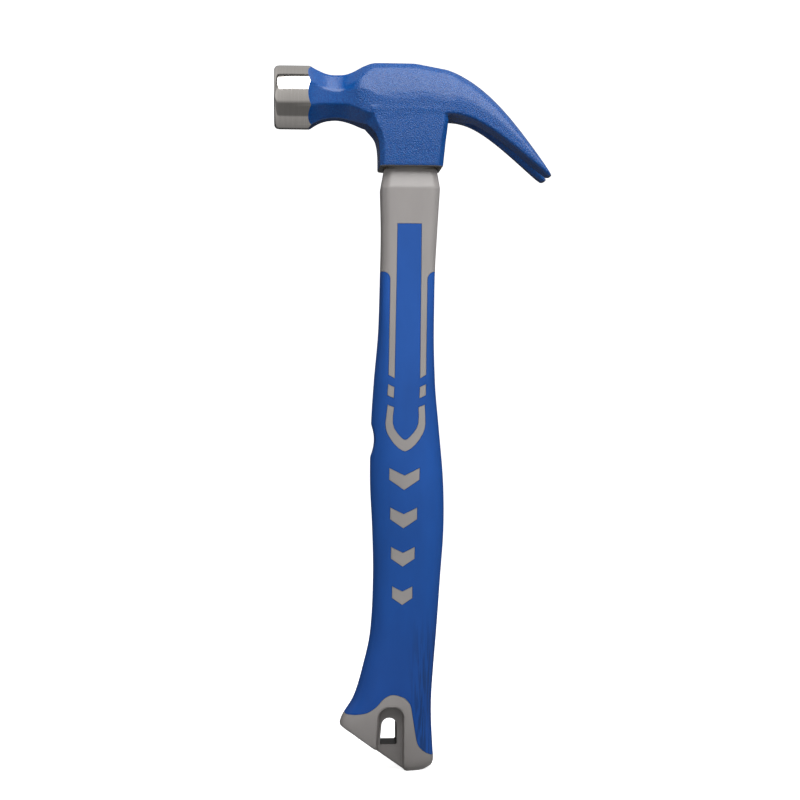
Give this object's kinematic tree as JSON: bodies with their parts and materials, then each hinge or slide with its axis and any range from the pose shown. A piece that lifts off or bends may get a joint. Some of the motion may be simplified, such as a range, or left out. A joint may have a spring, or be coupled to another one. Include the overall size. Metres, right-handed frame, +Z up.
{
  "type": "claw hammer",
  "caption": "Claw hammer with a forged blue head, bare steel striking face, curved claws and a long two-tone moulded handle with a hanging hole.",
  "frame": {"origin": "on the handle's axis, level with the foot of the handle", "axes": "+Z up the handle from foot to head, -X the way the hammer strikes, +X the way the claws reach, Y across the thickness"},
  "size_m": [0.13, 0.03, 0.3308],
  "materials": {
    "head_steel": "orange-peel powder coat over forged steel, with the striking end ground bare",
    "resin": "cast",
    "glass_fibre": "drawn, lengthwise fibres",
    "jacket_plastic": "satin moulded",
    "grip_rubber": "satin soft-touch"
  },
  "bodies": {
    "root": {"hammer_head": "head_steel", "eye_resin": "resin", "core_rod": "glass_fibre", "handle_jacket": "jacket_plastic", "grip_sleeve": "grip_rubber"}
  },
  "joints": []
}
